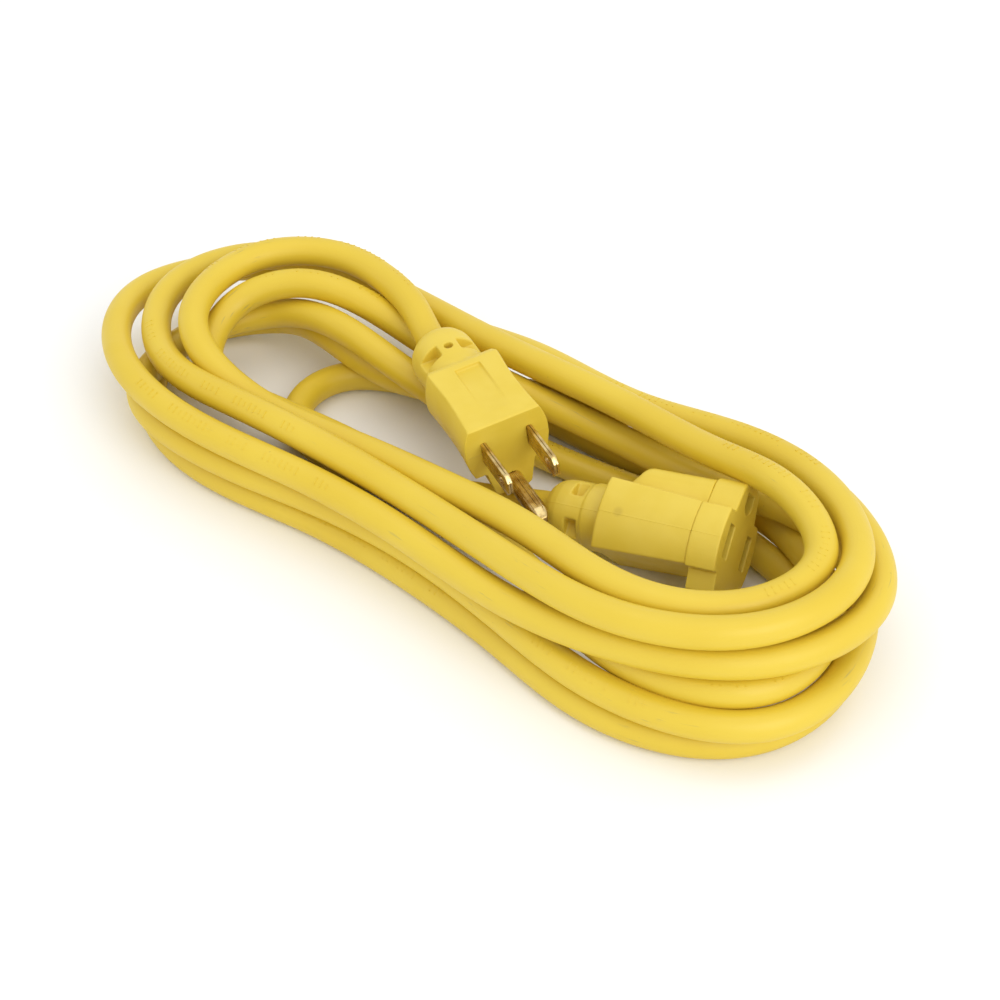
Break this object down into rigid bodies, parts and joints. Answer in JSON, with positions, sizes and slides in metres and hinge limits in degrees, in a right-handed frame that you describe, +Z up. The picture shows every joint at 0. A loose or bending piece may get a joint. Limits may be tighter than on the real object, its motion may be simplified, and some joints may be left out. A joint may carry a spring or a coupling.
{
  "type": "extension cord",
  "caption": "Yellow outdoor extension cord with a moulded grounding plug and connector, coiled by hand into a long flat hank with both ends lying inside it.",
  "frame": {"origin": "on the surface that the hank lies on, under the middle of the hank", "axes": "+X along the hank towards the end where the connector's face is, +Y across it, +Z up"},
  "size_m": [0.24, 0.099, 0.0374],
  "materials": {
    "cord_jacket": "extruded yellow PVC, satin",
    "moulded_pvc": "moulded yellow PVC, fine satin grain",
    "inner_block": "moulded, matte",
    "brass": "stamped and lightly brushed",
    "copper": "bare stranded copper",
    "black_wire": "extruded PVC insulation",
    "white_wire": "extruded PVC insulation",
    "green_wire": "extruded PVC insulation"
  },
  "bodies": {
    "root": {"plug_overmould": "moulded_pvc", "plug_blade_block": "inner_block", "plug_neutral_blade": "brass", "plug_line_blade": "brass", "plug_ground_pin": "brass", "plug_jacket_end": "cord_jacket", "plug_neutral_wire": "white_wire", "plug_line_wire": "black_wire", "plug_ground_wire": "green_wire", "plug_neutral_strands": "copper", "plug_line_strands": "copper", "plug_ground_strands": "copper", "connector_overmould": "moulded_pvc", "connector_face_housing": "moulded_pvc", "connector_rear_cap": "inner_block", "connector_neutral_contact": "brass", "connector_line_contact": "brass", "connector_ground_contact": "brass", "connector_jacket_end": "cord_jacket", "connector_neutral_wire": "white_wire", "connector_line_wire": "black_wire", "connector_ground_wire": "green_wire", "connector_neutral_strands": "copper", "connector_line_strands": "copper", "connector_ground_strands": "copper", "cord_plug_lead": "cord_jacket", "cord_connector_lead": "cord_jacket", "cord_hank": "cord_jacket"}
  },
  "joints": []
}
